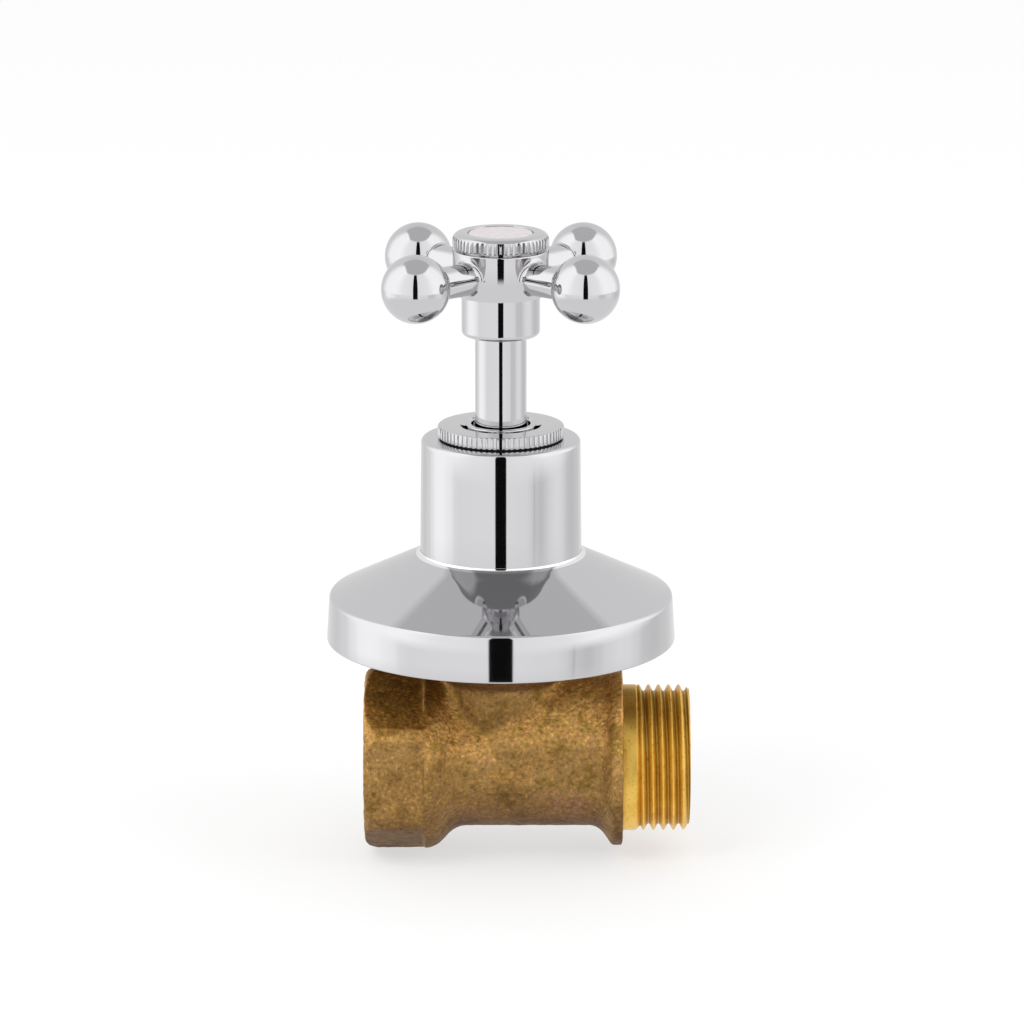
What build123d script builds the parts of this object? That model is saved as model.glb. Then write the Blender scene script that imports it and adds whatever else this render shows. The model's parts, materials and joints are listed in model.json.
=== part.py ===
from build123d import *
import os
from math import cos, radians, sqrt

# A concealed shower stop valve: a cast globe body with a female inlet and a male outlet,
# a screw-down headwork, and its trim of wall flange, sleeve, ring nut and cross handle.
# Millimetres. The pipe axis is X with the inlet mouth at X = 0, and the spindle stands on +Z.
# Every piece is drawn about the spindle axis and is moved along X when it is written.

# Pipe ends: G 3/4 thread, outside and core radius
thread_major_radius = 13.22
thread_core_radius = 12.06
outlet_reach = 34.1
inlet_thread_depth = 10.9
outlet_thread_length = 11.95
pipe_end_chamfer = 1.1

# Body casting
barrel_radius = 12.5
casting_wall = 3.1
partition_wall = 2.5
inlet_wall = 3.29
hex_length = 10.9
hex_foot_round = 4.0
hex_side_round = 1.2
hex_end_trim = 0.7
hex_end_round = 2.9
shoulder_run = 3.4
shoulder_drop = 0.45
hex_blend_run = 8.0
collar_radius = 16.1
collar_width = 2.05
collar_blend_run = 4.3
chamber_rise = 2.9
chamber_margin = 0.1
chamber_offset = 3.0
neck_inset = 1.9
neck_blend = 2.0
neck_head_radius = 14.2
neck_head_height = 6.8
neck_head_taper = 3.0
neck_top = 25.0

# Valve seat inside the body
seat_face = 3.0
seat_rise = 1.0
seat_hole_radius = 6.5
seat_ring_radius = 8.2

# Raised flow arrow on the front of the barrel
arrow_start = -2.4
arrow_shaft_length = 6.8
arrow_shaft_width = 2.8
arrow_head_length = 2.6
arrow_head_width = 5.4
arrow_height = -1.7
arrow_relief = 0.35

# Bonnet
gasket_thickness = 1.0
bonnet_thread_radius = 11.2
bonnet_thread_length = 7.4
bonnet_flats = 27.0
bonnet_hex_height = 7.0
bonnet_hex_chamfer = 1.0
bonnet_shoulder_radius = 13.4
bonnet_shoulder_height = 4.7
bonnet_barrel_radius = 8.8
bonnet_neck_radius = 7.3
bonnet_top_drop = 0.15
bonnet_mouth_radius = 8.2
bonnet_mouth_depth = 5.0
stuffing_radius = 6.0

# Spindle
lift = 4.5
spindle_radius = 4.6
spindle_thread_radius = 6.2
spindle_thread_length = 16.0
spindle_foot_radius = 5.4
spindle_foot_length = 9.8
bonnet_thread_engagement = 14.0
relief_radius = 6.7
square_flats = 6.6
square_corner_radius = 4.4
tapped_depth = 10.0
o_ring_section = 1.8
o_ring_groove_depth = 1.25

# Jumper, its washer and nut
jumper_plate_radius = 7.8
jumper_plate_thickness = 2.0
jumper_stem_radius = 2.9
jumper_stem_length = 9.9
jumper_stud_radius = 2.0
jumper_stud_length = 5.5
jumper_washer_inset = 0.2
jumper_washer_thickness = 3.0
washer_nut_flats = 7.0
washer_nut_height = 2.2

# Packing and gland
packing_washer_thickness = 1.0
packing_height = 5.5
gland_radius = 5.9
gland_head_radius = 6.25
gland_counterbore_radius = 5.35
gland_counterbore_depth = 2.3
gland_proud = 0.2

# Wall flange
flange_sheet = 1.0
flange_radius = 31.4
flange_rim_height = 8.15
flange_rim_draft = 0.5
flange_rise = 7.85
flange_land_radius = 14.6
flange_edge_round = 0.9

# Sleeve
sleeve_length = 21.05
sleeve_foot_radius = 14.52
sleeve_head_radius = 14.28
sleeve_wall = 1.6
sleeve_edge_round = 0.5

# Ring washer and knurled ring nut
ring_washer_radius = 10.9
ring_washer_thickness = 0.45
ring_radius = 11.35
ring_thickness = 1.9
ring_teeth = 70
ring_tooth_depth = 0.32
ring_edge_chamfer = 0.15
ring_flats = 12.7
ring_socket_depth = 2.1
ring_skirt_radius = 8.8
ring_skirt_length = 6.0

# Cross handle
stem_show = 16.4
hub_step_radius = 7.0
hub_step_height = 7.4
hub_waist_radius = 7.9
hub_head_radius = 8.6
hub_head_height = 8.2
hub_edge_round = 0.9
hub_bore_depth = 3.5
arm_count = 4
arm_radius = 2.9
arm_drop = 4.3
arm_blend = 0.9
ball_radius = 6.08
ball_reach = 21.04
ball_blend = 0.8
recess_radius = 6.5
recess_depth = 4.9

# Handle screw and washer
screw_radius = 1.95
screw_length = 9.6
screw_head_radius = 3.5
screw_head_height = 2.4
screw_slot_width = 1.0
screw_slot_depth = 1.1
handle_washer_radius = 5.6
handle_washer_thickness = 0.8

# Index button and disc
button_spigot_wall = 1.1
button_spigot_length = 3.1
button_step = 0.2
button_rim_radius = 8.6
button_rim_height = 2.1
button_teeth = 56
button_tooth_depth = 0.3
button_crown_height = 0.7
button_crown_round = 0.6
disc_radius = 5.75
disc_thickness = 0.6
disc_recess_depth = 0.7

# Broken edges
edge_break = 0.4
fine_break = 0.25

# Clearances
running_gap = 0.05
guide_gap = 0.1
thread_gap = 0.1
seat_gap = 0.1
static_gap = 0.1
loose_gap = 0.3
end_gap = 0.3
plate_gap = 0.6

# Sizes of the casting that follow from its walls
waterway_radius = barrel_radius - casting_wall
neck_radius = barrel_radius - neck_inset
hex_flats = 2 * (thread_core_radius + inlet_wall)
hex_corner = hex_flats / 2 / cos(radians(30))
hex_foot_reach = hex_corner - hex_foot_round * (1 / cos(radians(30)) - 1)
hex_end_radius = hex_corner - hex_end_trim
shoulder_radius = hex_foot_reach - shoulder_drop
inlet_reach = neck_radius + shoulder_run + hex_length
collar_face = outlet_reach - outlet_thread_length
collar_start = collar_face - collar_width
neck_bore_radius = jumper_plate_radius + plate_gap
jumper_washer_radius = jumper_plate_radius - jumper_washer_inset

# Heights up the spindle axis, from the pipe axis
bonnet_seat = neck_top + gasket_thickness
shoulder_foot = bonnet_seat + bonnet_hex_height
flange_seat = shoulder_foot + bonnet_shoulder_height
sleeve_foot = flange_seat + flange_sheet
sleeve_top = sleeve_foot + sleeve_length
ring_foot = sleeve_top + ring_washer_thickness
ring_top = ring_foot + ring_thickness
bonnet_foot = neck_top - bonnet_thread_length
bonnet_top = sleeve_top - bonnet_top_drop
washer_foot = seat_face + seat_gap
plate_foot = washer_foot + jumper_washer_thickness
plate_top = plate_foot + jumper_plate_thickness
spindle_foot = plate_top + seat_gap
thread_foot = spindle_foot + spindle_foot_length
thread_top = thread_foot + spindle_thread_length
bonnet_thread_foot = bonnet_foot + bonnet_mouth_depth
relief_foot = bonnet_thread_foot + bonnet_thread_engagement
relief_top = thread_top + lift + 5 * end_gap
o_ring_foot = relief_top + 4 * end_gap
packing_foot = o_ring_foot + o_ring_section + lift + 3 * end_gap
packing_top = packing_foot + packing_washer_thickness + packing_height
hub_foot = ring_top + stem_show
hub_waist = hub_foot + hub_step_height
hub_top = hub_waist + hub_head_height
arm_height = hub_top - arm_drop
recess_floor = hub_top - recess_depth
square_foot = hub_foot + hub_bore_depth
square_top = recess_floor - end_gap
screw_seat = recess_floor + handle_washer_thickness
partition_top = seat_face - seat_rise
partition_foot = partition_top - partition_wall
seat_wall = neck_bore_radius + partition_wall


def section(points, rounds=()):
    """A closed outline, with some of its corners rounded: (corner index, radius)."""
    face = make_face(Polyline(*points, close=True))
    for index, radius in rounds:
        corner = face.vertices().sort_by_distance(Vector(*points[index]))[0]
        face = fillet(corner, radius)
    return face


def turned(points, rounds=()):
    """A piece turned about the spindle axis from (radius, height) points."""
    return revolve(Plane.XZ * section(points, rounds), Axis.Z)


def rod(radius, foot, top):
    """A round bar on the spindle axis."""
    return Pos(0, 0, foot) * Cylinder(radius, top - foot, align=(Align.CENTER, Align.CENTER, Align.MIN))


def tube(outer, inner, foot, top):
    """A round tube on the spindle axis."""
    return rod(outer, foot, top) - rod(inner, foot, top)


def pipe_rod(radius, start, end):
    """A round bar on the pipe axis."""
    bar = Cylinder(radius, end - start, align=(Align.CENTER, Align.CENTER, Align.MIN))
    return Pos(start, 0, 0) * Rot(0, 90, 0) * bar


def prism(flats, foot, top, turn=0):
    """A hexagonal bar on the spindle axis, with corners on X when it isn't turned."""
    outline = RegularPolygon(flats / 2, 6, major_radius=False, rotation=turn)
    return Pos(0, 0, foot) * extrude(outline, top - foot)


def knurled(radius, teeth, depth, foot, top):
    """A straight-knurled disc: each tooth has a narrow crest and a V-shaped valley."""
    pitch = 360 / teeth
    points = []
    for tooth in range(teeth):
        for share, reach in ((-0.16, radius), (0.16, radius), (0.5, radius - depth)):
            direction = Vector(reach, 0).rotate(Axis.Z, (tooth + share) * pitch)
            points.append((direction.X, direction.Y))
    outline = make_face(Polyline(*points, close=True))
    return Pos(0, 0, foot) * extrude(outline, top - foot)


def inlet_hexagon():
    """The spanner hexagon of the inlet, flat to the front, with blunted corners above and below."""
    outline = RegularPolygon(hex_flats / 2, 6, major_radius=False)
    bar = Pos(-inlet_reach, 0, 0) * Rot(0, 90, 0) * extrude(outline, hex_length)
    corners = bar.edges().filter_by(Axis.X).sort_by(Axis.Z)
    bar = fillet(corners[1:-1], hex_side_round)
    corners = bar.edges().filter_by(Axis.X).sort_by(Axis.Z)
    bar = fillet([corners[0], corners[-1]], hex_foot_round)
    envelope = section(
        [
            (-inlet_reach, 0),
            (-inlet_reach, hex_end_radius),
            (hex_length - inlet_reach, hex_end_radius),
            (hex_length - inlet_reach, 0),
        ],
        [(1, hex_end_round)],
    )
    return bar & revolve(envelope, Axis.X)


def cast_barrel():
    """The barrel with its sweep down from the hexagon and up to the outlet collar."""
    start = hex_length - inlet_reach
    blend_end = start + hex_blend_run
    sweep_start = collar_start - collar_blend_run
    outline = [
        Line((start, 0), (start, shoulder_radius)),
        Spline((start, shoulder_radius), (blend_end, barrel_radius), tangents=((1, 0), (1, 0))),
        Line((blend_end, barrel_radius), (sweep_start, barrel_radius)),
        Spline((sweep_start, barrel_radius), (collar_start, collar_radius), tangents=((1, 0), (1, 1.1))),
        Line((collar_start, collar_radius), (collar_face, collar_radius)),
        Line((collar_face, collar_radius), (collar_face, 0)),
        Line((collar_face, 0), (start, 0)),
    ]
    return revolve(make_face(Curve() + outline), Axis.X)


def raised_chamber():
    """The higher side of the casting, from the neck to the outlet collar, with a round end."""
    radius = barrel_radius + chamber_margin
    run = pipe_rod(radius, chamber_offset, collar_start + collar_width / 2)
    return Pos(0, 0, chamber_rise) * (run + Pos(chamber_offset, 0, 0) * Sphere(radius))


def round_neck(edge):
    """True for an edge where the neck meets the barrel."""
    middle = edge.position_at(0.5)
    on_neck = abs(Vector(middle.X, middle.Y).length - neck_radius) < 0.01
    return on_neck and edge.geom_type != GeomType.LINE and middle.Z < neck_top - neck_head_height


def flow_arrow():
    """The raised arrow that shows the way of the water, on the front of the barrel."""
    neck_of_arrow = arrow_start + arrow_shaft_length
    tip = neck_of_arrow + arrow_head_length
    half_shaft = arrow_shaft_width / 2
    half_head = arrow_head_width / 2
    points = [
        (arrow_start, -half_shaft),
        (neck_of_arrow, -half_shaft),
        (neck_of_arrow, -half_head),
        (tip, 0),
        (neck_of_arrow, half_head),
        (neck_of_arrow, half_shaft),
        (arrow_start, half_shaft),
    ]
    block = Pos(0, 0, arrow_height) * extrude(Plane.XZ * section(points), barrel_radius + 2)
    shell = pipe_rod(barrel_radius + arrow_relief, arrow_start - 1, tip + 1)
    core = pipe_rod(barrel_radius - 1, arrow_start - 1, tip + 1)
    return block & shell - core


def waterways():
    """Everything the core and the tools take out of the casting."""
    below = Pos(0, 0, partition_foot) * Box(
        200, 200, 100, align=(Align.CENTER, Align.CENTER, Align.MAX)
    )
    above = Pos(0, 0, partition_top) * Box(
        200, 200, 100, align=(Align.CENTER, Align.CENTER, Align.MIN)
    )
    mouth = pipe_rod(thread_core_radius, -inlet_reach, inlet_thread_depth - inlet_reach)
    inlet_run = pipe_rod(waterway_radius, -inlet_reach, -seat_wall)
    lower_chamber = pipe_rod(waterway_radius, -seat_wall, neck_bore_radius) & below
    seat_hole = rod(seat_hole_radius, partition_foot - 1, partition_top + 1)
    upper_chamber = pipe_rod(waterway_radius, 0, seat_wall) & above
    raised_run = Pos(0, 0, chamber_rise) * pipe_rod(waterway_radius, 0, collar_start - casting_wall)
    outlet_run = pipe_rod(waterway_radius, seat_wall, outlet_reach)
    neck_bore = rod(neck_bore_radius, partition_top, neck_top)
    neck_thread = rod(bonnet_thread_radius + thread_gap, bonnet_foot - end_gap, neck_top)
    return [
        mouth,
        inlet_run,
        lower_chamber,
        seat_hole,
        upper_chamber,
        raised_run & above,
        outlet_run,
        neck_bore,
        neck_thread,
    ]


def valve_body():
    """The globe body: hexagonal inlet, barrel, neck, outlet thread, partition and seat."""
    neck = rod(neck_radius, 0, neck_top)
    casting = cast_barrel() + raised_chamber() + neck
    casting = fillet(casting.edges().filter_by(round_neck), neck_blend)
    head_foot = neck_top - neck_head_height
    casting += turned(
        [
            (0, head_foot - neck_head_taper),
            (neck_radius, head_foot - neck_head_taper),
            (neck_head_radius, head_foot),
            (neck_head_radius, neck_top),
            (0, neck_top),
        ],
        [(3, edge_break)],
    )
    casting += inlet_hexagon()
    spigot = pipe_rod(thread_major_radius, collar_start, outlet_reach)
    casting += chamfer(spigot.edges().sort_by(Axis.X)[-1], pipe_end_chamfer)
    casting += flow_arrow()
    for hollow in waterways():
        casting -= hollow
    casting += tube(seat_ring_radius, seat_hole_radius, partition_top, seat_face)
    mouth_edge = casting.edges().filter_by(GeomType.CIRCLE).filter_by(
        lambda edge: abs(edge.radius - thread_core_radius) < 0.01
    ).sort_by(Axis.X)[0]
    return chamfer(mouth_edge, edge_break)


def bonnet():
    """The headwork housing: body thread, spanner hexagon, trim shoulder, barrel and neck thread."""
    corner = bonnet_flats / 2 / cos(radians(30))
    hexagon = prism(bonnet_flats, bonnet_seat, shoulder_foot, 30)
    hexagon &= turned(
        [
            (0, bonnet_seat),
            (corner, bonnet_seat),
            (corner, shoulder_foot - bonnet_hex_chamfer),
            (corner - 2 * bonnet_hex_chamfer, shoulder_foot),
            (0, shoulder_foot),
        ]
    )
    neck_start = ring_foot - ring_skirt_length - loose_gap
    outside = turned(
        [
            (0, bonnet_foot),
            (bonnet_thread_radius, bonnet_foot),
            (bonnet_thread_radius, bonnet_seat),
            (bonnet_shoulder_radius, bonnet_seat),
            (bonnet_shoulder_radius, flange_seat),
            (bonnet_barrel_radius, flange_seat),
            (bonnet_barrel_radius, neck_start),
            (bonnet_neck_radius, neck_start),
            (bonnet_neck_radius, bonnet_top),
            (0, bonnet_top),
        ]
    )
    bore = turned(
        [
            (0, bonnet_foot),
            (bonnet_mouth_radius, bonnet_foot),
            (bonnet_mouth_radius, bonnet_thread_foot),
            (spindle_thread_radius + running_gap, bonnet_thread_foot),
            (spindle_thread_radius + running_gap, relief_foot),
            (relief_radius, relief_foot),
            (relief_radius, relief_top),
            (spindle_radius + guide_gap, relief_top),
            (spindle_radius + guide_gap, packing_foot),
            (stuffing_radius, packing_foot),
            (stuffing_radius, bonnet_top),
            (0, bonnet_top),
        ]
    )
    return outside + hexagon - bore


def spindle():
    """The rising stem: foot, thread, O-ring groove, shaft and the square for the handle."""
    groove_radius = spindle_radius - o_ring_groove_depth
    shaft = turned(
        [
            (0, spindle_foot),
            (spindle_foot_radius, spindle_foot),
            (spindle_foot_radius, thread_foot),
            (spindle_thread_radius, thread_foot),
            (spindle_thread_radius, thread_top),
            (spindle_radius, thread_top),
            (spindle_radius, o_ring_foot - static_gap),
            (groove_radius, o_ring_foot - static_gap),
            (groove_radius, o_ring_foot + o_ring_section + static_gap),
            (spindle_radius, o_ring_foot + o_ring_section + static_gap),
            (spindle_radius, square_foot),
            (0, square_foot),
        ]
    )
    square = Pos(0, 0, square_foot) * Box(
        square_flats, square_flats, square_top - square_foot, align=(Align.CENTER, Align.CENTER, Align.MIN)
    )
    square &= rod(square_corner_radius, square_foot, square_top)
    jumper_socket = rod(
        jumper_stem_radius + guide_gap, spindle_foot, plate_top + jumper_stem_length + 2 * lift
    )
    tapped_hole = rod(screw_radius + running_gap, square_top - tapped_depth, square_top)
    return shaft + square - jumper_socket - tapped_hole


def spindle_o_ring():
    """The ring that seals the shaft in the bonnet, with its outer face just inside the bore."""
    groove_radius = spindle_radius - o_ring_groove_depth
    return tube(
        spindle_radius + running_gap,
        groove_radius + running_gap,
        o_ring_foot,
        o_ring_foot + o_ring_section,
    )


def jumper():
    """The loose valve plate with its guide stem above and its stud below."""
    plate = rod(jumper_plate_radius, plate_foot, plate_top)
    plate = chamfer(plate.edges().sort_by(Axis.Z)[-1], edge_break)
    stem = rod(jumper_stem_radius, plate_top, plate_top + jumper_stem_length)
    stem = chamfer(stem.edges().sort_by(Axis.Z)[-1], edge_break)
    stud = rod(jumper_stud_radius, plate_foot - jumper_stud_length, plate_foot)
    return plate + stem + stud


def jumper_washer():
    """The rubber washer that closes on the seat."""
    hole = jumper_stud_radius + static_gap
    return tube(jumper_washer_radius, hole, washer_foot, plate_foot)


def washer_nut():
    """The nut that holds the washer on the jumper's stud."""
    body = prism(washer_nut_flats, washer_foot - washer_nut_height, washer_foot)
    return body - rod(jumper_stud_radius + running_gap, washer_foot - washer_nut_height, washer_foot)


def bonnet_gasket():
    """The fibre joint between the body's neck and the bonnet's hexagon."""
    inner = bonnet_thread_radius + static_gap
    return tube(neck_head_radius - loose_gap, inner, neck_top, bonnet_seat)


def packing_washer():
    """The brass washer under the packing."""
    inner = spindle_radius + guide_gap
    outer = stuffing_radius - static_gap
    return tube(outer, inner, packing_foot, packing_foot + packing_washer_thickness)


def gland_packing():
    """The packing round the shaft, pressed down by the gland nut."""
    inner = spindle_radius + running_gap
    outer = stuffing_radius - running_gap
    return tube(outer, inner, packing_foot + packing_washer_thickness, packing_top)


def gland_nut():
    """The gland in the bonnet's neck, with a wider mouth round the shaft."""
    top = ring_top + gland_proud
    head_foot = bonnet_top + end_gap
    return turned(
        [
            (spindle_radius + running_gap, packing_top),
            (gland_radius, packing_top),
            (gland_radius, head_foot),
            (gland_head_radius, head_foot),
            (gland_head_radius, top),
            (gland_counterbore_radius, top),
            (gland_counterbore_radius, top - gland_counterbore_depth),
            (spindle_radius + running_gap, top - gland_counterbore_depth),
        ],
        [(4, fine_break)],
    )


def wall_flange():
    """The pressed bell flange: an even sheet from the centre hole over the cone to the rim."""
    rim_foot = sleeve_foot - flange_rise - flange_rim_height
    rim_top = rim_foot + flange_rim_height
    rim_radius = flange_radius - flange_rim_draft
    hole = bonnet_barrel_radius + loose_gap
    slope = flange_rise / (rim_radius - flange_land_radius)
    drop = flange_sheet * sqrt(1 + slope * slope)
    inner_rim = rim_radius - flange_sheet
    inner_rim_top = rim_top + slope * flange_sheet - drop
    inner_land = flange_land_radius - (drop - flange_sheet) / slope
    return turned(
        [
            (hole, flange_seat),
            (inner_land, flange_seat),
            (inner_rim, inner_rim_top),
            (flange_radius - flange_sheet, rim_foot),
            (flange_radius, rim_foot),
            (rim_radius, rim_top),
            (flange_land_radius, sleeve_foot),
            (hole, sleeve_foot),
        ],
        [(5, flange_edge_round)],
    )


def sleeve():
    """The drawn sleeve over the headwork, open below, with a hole for the ring nut on top."""
    hole = ring_skirt_radius + loose_gap
    return turned(
        [
            (sleeve_foot_radius - sleeve_wall, sleeve_foot),
            (sleeve_foot_radius, sleeve_foot),
            (sleeve_head_radius, sleeve_top),
            (hole, sleeve_top),
            (hole, sleeve_top - sleeve_wall),
            (sleeve_head_radius - sleeve_wall, sleeve_top - sleeve_wall),
        ],
        [(1, sleeve_edge_round), (2, sleeve_edge_round)],
    )


def ring_washer():
    """The dark washer between the sleeve and the ring nut."""
    return tube(ring_washer_radius, ring_skirt_radius + loose_gap, sleeve_top, ring_foot)


def ring_nut():
    """The knurled ring that draws the trim down: hexagonal opening, skirt and inner thread."""
    ring = knurled(ring_radius, ring_teeth, ring_tooth_depth, ring_foot, ring_top)
    ring &= turned(
        [
            (0, ring_foot),
            (ring_radius, ring_foot),
            (ring_radius, ring_top - ring_edge_chamfer),
            (ring_radius - ring_edge_chamfer, ring_top),
            (0, ring_top),
        ]
    )
    skirt_foot = ring_foot - ring_skirt_length
    ring += rod(ring_skirt_radius, skirt_foot, ring_foot)
    socket_foot = ring_top - ring_socket_depth
    ring -= prism(ring_flats, socket_foot, ring_top)
    return ring - rod(bonnet_neck_radius + thread_gap, skirt_foot, socket_foot)


def handle_arm():
    """One arm of the cross with its ball, along X from inside the hub."""
    arm = Rot(0, 90, 0) * Cylinder(
        arm_radius, ball_reach, align=(Align.CENTER, Align.CENTER, Align.MIN)
    )
    arm += Pos(ball_reach, 0, 0) * Sphere(ball_radius)
    joint = arm.edges().filter_by(GeomType.CIRCLE).filter_by(
        lambda edge: ball_reach - ball_radius < edge.center().X < ball_reach
    )
    return fillet(joint, ball_blend)


def hub_head():
    """The head of the hub: its side stands upright at the top and is drawn in to the waist."""
    crown = (hub_head_radius, hub_top)
    waist = (hub_waist_radius, hub_waist)
    side = TangentArc(crown, waist, tangent=(0, -1))
    face = make_face(side + Polyline(waist, (0, hub_waist), (0, hub_top), crown))
    corner = face.vertices().sort_by_distance(Vector(*crown))[0]
    return revolve(Plane.XZ * fillet(corner, fine_break), Axis.Z)


def handle_cross():
    """The forged cross handle: stepped hub, four ball arms blended in, square socket, top recess."""
    step = turned(
        [
            (0, hub_foot),
            (hub_step_radius, hub_foot),
            (hub_step_radius, hub_waist),
            (0, hub_waist),
        ],
        [(1, hub_edge_round)],
    )
    arm = Pos(0, 0, arm_height) * handle_arm()
    cross = step + hub_head()
    for number in range(arm_count):
        cross += Rot(0, 0, 360 / arm_count * (number + 0.5)) * arm
    roots = [
        edge
        for edge in cross.edges()
        if edge.geom_type not in (GeomType.CIRCLE, GeomType.LINE)
        and hub_waist < edge.center().Z < hub_top
        and edge.distance_to(Vertex(0, 0, arm_height)) < hub_head_radius
    ]
    cross = fillet(roots, arm_blend)
    cross -= rod(spindle_radius + static_gap, hub_foot, square_foot)
    socket = square_flats + 2 * static_gap
    cross -= Pos(0, 0, square_foot) * Box(
        socket, socket, recess_depth + hub_top, align=(Align.CENTER, Align.CENTER, Align.MIN)
    )
    return cross - rod(recess_radius, recess_floor, hub_top)


def handle_washer():
    """The plain washer under the screw's head, wide enough to span the square hole."""
    return tube(handle_washer_radius, screw_radius + static_gap, recess_floor, screw_seat)


def handle_screw():
    """The slotted screw that holds the handle on the spindle."""
    head = rod(screw_head_radius, screw_seat, screw_seat + screw_head_height)
    head = chamfer(head.edges().sort_by(Axis.Z)[-1], edge_break)
    slot = Pos(0, 0, screw_seat + screw_head_height) * Box(
        3 * screw_head_radius,
        screw_slot_width,
        screw_slot_depth,
        align=(Align.CENTER, Align.CENTER, Align.MAX),
    )
    return head - slot + rod(screw_radius, screw_seat - screw_length, screw_seat)


def index_button():
    """The knurled button that screws into the hub, with a recess for the index disc."""
    rim_foot = hub_top + button_step
    rim_top = rim_foot + button_rim_height
    top = rim_top + button_crown_height
    spigot_radius = recess_radius - static_gap
    neck = rod(button_rim_radius - 2 * button_tooth_depth, hub_top, rim_foot)
    rim = knurled(button_rim_radius, button_teeth, button_tooth_depth, rim_foot, rim_top)
    crown = turned(
        [
            (0, rim_top),
            (button_rim_radius - button_tooth_depth, rim_top),
            (button_rim_radius - button_tooth_depth - button_crown_height, top),
            (0, top),
        ],
        [(2, button_crown_round)],
    )
    spigot = tube(
        spigot_radius, spigot_radius - button_spigot_wall, hub_top - button_spigot_length, hub_top
    )
    button = neck + rim + crown + spigot
    return button - rod(disc_radius + static_gap, top - disc_recess_depth, top)


def index_disc():
    """The plain index disc set in the button."""
    top = hub_top + button_step + button_rim_height + button_crown_height
    foot = top - disc_recess_depth
    disc = rod(disc_radius, foot, foot + disc_thickness)
    return chamfer(disc.edges().sort_by(Axis.Z)[-1], fine_break / 2)


pieces = [
    valve_body,
    bonnet,
    bonnet_gasket,
    packing_washer,
    gland_packing,
    gland_nut,
    wall_flange,
    sleeve,
    ring_washer,
    ring_nut,
    spindle,
    spindle_o_ring,
    jumper,
    jumper_washer,
    washer_nut,
    handle_cross,
    handle_washer,
    handle_screw,
    index_button,
    index_disc,
]

os.makedirs("parts", exist_ok=True)
for make_piece in pieces:
    export_step(Pos(inlet_reach, 0, 0) * make_piece(), "parts/" + make_piece.__name__ + ".step")
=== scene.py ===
import json
from math import cos, radians, sin

import bpy
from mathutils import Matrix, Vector


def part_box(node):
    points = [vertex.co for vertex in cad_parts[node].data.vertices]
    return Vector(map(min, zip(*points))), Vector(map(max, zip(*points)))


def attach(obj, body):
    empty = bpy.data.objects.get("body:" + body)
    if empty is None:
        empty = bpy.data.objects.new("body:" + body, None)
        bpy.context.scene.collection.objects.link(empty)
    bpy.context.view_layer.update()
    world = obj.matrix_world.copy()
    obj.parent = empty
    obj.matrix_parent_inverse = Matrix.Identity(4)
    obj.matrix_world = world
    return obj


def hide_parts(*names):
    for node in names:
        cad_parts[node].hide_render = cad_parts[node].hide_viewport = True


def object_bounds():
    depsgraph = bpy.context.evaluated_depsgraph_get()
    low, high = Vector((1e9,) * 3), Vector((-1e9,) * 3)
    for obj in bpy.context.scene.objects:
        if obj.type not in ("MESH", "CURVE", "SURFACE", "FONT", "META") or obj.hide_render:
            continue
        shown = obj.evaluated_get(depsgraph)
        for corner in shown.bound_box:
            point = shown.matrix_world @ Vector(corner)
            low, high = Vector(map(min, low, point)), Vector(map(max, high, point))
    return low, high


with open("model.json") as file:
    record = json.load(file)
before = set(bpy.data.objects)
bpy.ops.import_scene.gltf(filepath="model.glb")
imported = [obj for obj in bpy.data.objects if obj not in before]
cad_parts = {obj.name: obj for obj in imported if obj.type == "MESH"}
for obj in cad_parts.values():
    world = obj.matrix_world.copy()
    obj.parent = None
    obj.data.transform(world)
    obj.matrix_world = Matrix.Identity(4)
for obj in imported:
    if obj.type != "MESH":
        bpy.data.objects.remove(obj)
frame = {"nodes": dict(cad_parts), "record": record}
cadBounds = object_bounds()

mm = 0.001

# The frame: pipe axis along X with the inlet mouth at 0, spindle axis upright at spindleX
sleeveLow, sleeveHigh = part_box("sleeve")
spindleX = (sleeveLow.x + sleeveHigh.x) / 2


print("Finish helpers")


def addNode(tree, kind, **settings):
    made = tree.nodes.new(kind)
    for name, value in settings.items():
        setattr(made, name, value)
    return made


def plug(tree, value, socket):  # a number goes on the socket, an output is linked to it
    if isinstance(value, bpy.types.NodeSocket):
        tree.links.new(value, socket)
    else:
        socket.default_value = value


def grey(level):
    return (level, level, level, 1)


def calc(tree, operation, *values, clamp=False):
    made = addNode(tree, "ShaderNodeMath", operation=operation, use_clamp=clamp)
    for value, socket in zip(values, made.inputs):
        plug(tree, value, socket)
    return made.outputs[0]


def over(tree, value, edge, soft):  # 0 well below the edge, 1 well above it
    away = calc(tree, "SUBTRACT", value, edge)
    return calc(tree, "MULTIPLY_ADD", away, 1 / soft, 0.5, clamp=True)


def under(tree, value, edge, soft):
    return calc(tree, "SUBTRACT", 1.0, over(tree, value, edge, soft))


def both(tree, *shares):
    total = shares[0]
    for more in shares[1:]:
        total = calc(tree, "MULTIPLY", total, more)
    return total


def rampOf(tree, value, stops, mode="LINEAR"):  # stops are (position, grey or colour)
    made = addNode(tree, "ShaderNodeValToRGB")
    made.color_ramp.interpolation = mode
    marks = made.color_ramp.elements
    while len(marks) < len(stops):
        marks.new(0.5)
    for mark, (place, colour) in zip(marks, stops):
        mark.position = place
    for mark, (place, colour) in zip(marks, stops):
        mark.color = grey(colour) if isinstance(colour, float) else (*colour, 1)
    plug(tree, value, made.inputs["Fac"])
    return made.outputs["Color"]


def between(tree, cloud, low, high):  # goes from low to high where the noise does
    return rampOf(tree, cloud, [(0.3, low), (0.7, high)])


def blendOf(tree, share, first, second, mode="MIX"):
    made = addNode(tree, "ShaderNodeMix", data_type="RGBA", blend_type=mode)
    plug(tree, share, made.inputs[0])
    plug(tree, first, made.inputs[6])
    plug(tree, second, made.inputs[7])
    return made.outputs[2]


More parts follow.
